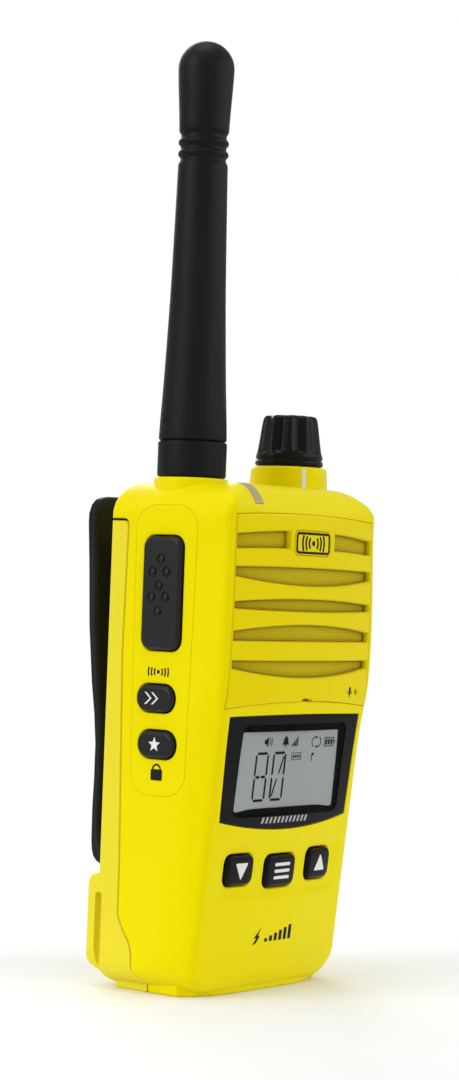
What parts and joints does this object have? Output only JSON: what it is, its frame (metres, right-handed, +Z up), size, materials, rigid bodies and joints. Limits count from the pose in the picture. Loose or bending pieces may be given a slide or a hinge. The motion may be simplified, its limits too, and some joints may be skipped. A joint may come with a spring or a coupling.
{
  "type": "two way radio",
  "caption": "Handheld two-way radio with whip antenna, volume knob, talk button, display, front keys, removable battery pack and sprung belt clip.",
  "frame": {"origin": "middle of the base that the radio stands on", "axes": "+Z up along the antenna, the front face with the display looks to -Y, +X to the viewer's right"},
  "size_m": [0.06, 0.0494, 0.2147],
  "materials": {
    "yellow_shell": "moulded ABS, satin gloss",
    "yellow_battery": "moulded ABS, slightly paler and more matte than the housing",
    "grille_yellow": "moulded ABS, satin",
    "cloth": "woven acoustic mesh",
    "badge_black": "blank gloss badge",
    "window_black": "clear lens with a black printed border",
    "lcd": "grey reflective display",
    "white_plastic": "matt",
    "clear_plastic": "frosted clear",
    "pcb_green": "solder mask",
    "tin": "tinned",
    "steel": "zinc plated",
    "gold": "gold plated",
    "brass": "turned",
    "ferrite": "sintered",
    "paper_black": "coated paper",
    "black_plastic": "fine texture",
    "knob_black": "semi gloss",
    "button_rubber": "satin rubber",
    "key_black": "gloss cap",
    "antenna_rubber": "matt moulded sheath",
    "seal_rubber": "soft",
    "chassis_black": "die cast, black",
    "cell_wrap": "shrink wrap",
    "copper": "enamelled wire",
    "ptfe": "smooth"
  },
  "bodies": {
    "radio": {"front_housing": "yellow_shell", "side_panel": "yellow_shell", "speaker_grille": "grille_yellow", "grille_cloth": "cloth", "badge_plate": "badge_black", "lcd_window": "window_black", "lcd_glass": "lcd", "lcd_frame": "white_plastic", "light_pipe": "clear_plastic", "status_led": "white_plastic", "main_board": "pcb_green", "rf_shield": "tin", "keypad_mat": "seal_rubber", "side_board": "pcb_green", "side_switches": "steel", "speaker_basket": "steel", "speaker_magnet": "ferrite", "speaker_cone": "paper_black", "microphone": "steel", "mic_boot": "seal_rubber", "volume_pot": "steel", "pot_nut": "brass", "antenna_jack": "brass", "jack_insulator": "ptfe", "rear_chassis": "chassis_black", "chassis_seal": "seal_rubber", "chassis_screws": "steel", "contact_block": "black_plastic", "contact_springs": "gold", "accessory_jack": "black_plastic"},
    "battery_pack": {"battery_case": "yellow_battery", "battery_tray": "black_plastic", "battery_cells": "cell_wrap", "protection_board": "pcb_green", "battery_contacts": "gold", "charge_contacts": "gold", "latch_spring": "steel", "clip_bracket": "black_plastic", "clip_pin": "steel", "clip_spring": "steel", "clip_screws": "steel"},
    "battery_catch": {"battery_latch": "yellow_battery", "latch_hook": "steel"},
    "clip": {"belt_clip": "black_plastic"},
    "knob": {"volume_knob": "knob_black", "pot_shaft": "steel"},
    "talk_button": {"ptt_button": "button_rubber"},
    "upper_side_key": {"side_key_upper": "button_rubber"},
    "lower_side_key": {"side_key_lower": "button_rubber"},
    "left_key": {"key_down": "key_black"},
    "middle_key": {"key_menu": "key_black"},
    "right_key": {"key_up": "key_black"},
    "antenna_seat": {"antenna_washer": "seal_rubber"},
    "antenna": {"antenna_sheath": "antenna_rubber", "antenna_coil": "copper", "antenna_ferrule": "brass"},
    "cover": {"jack_cover": "seal_rubber"}
  },
  "joints": [
    {"name": "volume_turn", "type": "hinge", "parent": "radio", "child": "knob", "pos_m": [0.0168, -0.0007, 0.12], "axis": [0, 0, 1], "range_deg": [-150, 150]},
    {"name": "talk_press", "type": "slide", "parent": "radio", "child": "talk_button", "axis": [1, 0, 0], "range_m": [0, 0.001], "stiffness_N_per_m": 900, "springref_m": -0.0006},
    {"name": "upper_side_press", "type": "slide", "parent": "radio", "child": "upper_side_key", "axis": [1, 0, 0], "range_m": [0, 0.0007], "stiffness_N_per_m": 800, "springref_m": -0.0005},
    {"name": "lower_side_press", "type": "slide", "parent": "radio", "child": "lower_side_key", "axis": [1, 0, 0], "range_m": [0, 0.0007], "stiffness_N_per_m": 800, "springref_m": -0.0005},
    {"name": "left_key_press", "type": "slide", "parent": "radio", "child": "left_key", "axis": [0, 1, 0], "range_m": [0, 0.0005], "stiffness_N_per_m": 800, "springref_m": -0.0005},
    {"name": "middle_key_press", "type": "slide", "parent": "radio", "child": "middle_key", "axis": [0, 1, 0], "range_m": [0, 0.0005], "stiffness_N_per_m": 800, "springref_m": -0.0005},
    {"name": "right_key_press", "type": "slide", "parent": "radio", "child": "right_key", "axis": [0, 1, 0], "range_m": [0, 0.0005], "stiffness_N_per_m": 800, "springref_m": -0.0005},
    {"name": "antenna_rise", "type": "slide", "parent": "radio", "child": "antenna_seat", "axis": [0, 0, 1], "range_m": [0, 0.00353]},
    {"name": "antenna_turn", "type": "hinge", "parent": "antenna_seat", "child": "antenna", "pos_m": [-0.017, 0.0014, 0.116], "axis": [0, 0, 1], "range_deg": [0, 1802]},
    {"name": "cover_open", "type": "hinge", "parent": "radio", "child": "cover", "pos_m": [0.0293, -0.0072, 0.0873], "axis": [0, 0, -1], "range_deg": [0, 100], "stiffness_Nm_per_rad": 0.002, "springref_deg": -5.73},
    {"name": "battery_pull", "type": "slide", "parent": "radio", "child": "battery_pack", "axis": [0, 1, 0], "range_m": [0, 0.045], "deforming": ["latch_hook"]},
    {"name": "catch_press", "type": "slide", "parent": "battery_pack", "child": "battery_catch", "axis": [0, 0, 1], "range_m": [0, 0.0014], "stiffness_N_per_m": 900, "springref_m": -0.001, "deforming": ["latch_spring"]},
    {"name": "clip_open", "type": "hinge", "parent": "battery_pack", "child": "clip", "pos_m": [0, 0.02, 0.093], "axis": [1, 0, 0], "range_deg": [0, 25], "stiffness_Nm_per_rad": 0.6, "springref_deg": -20.05, "deforming": ["clip_spring"]}
  ],
  "couplings": [
    {"joint": "antenna_turn", "follows": "antenna_rise", "rad_per_m": 8905.3}
  ]
}
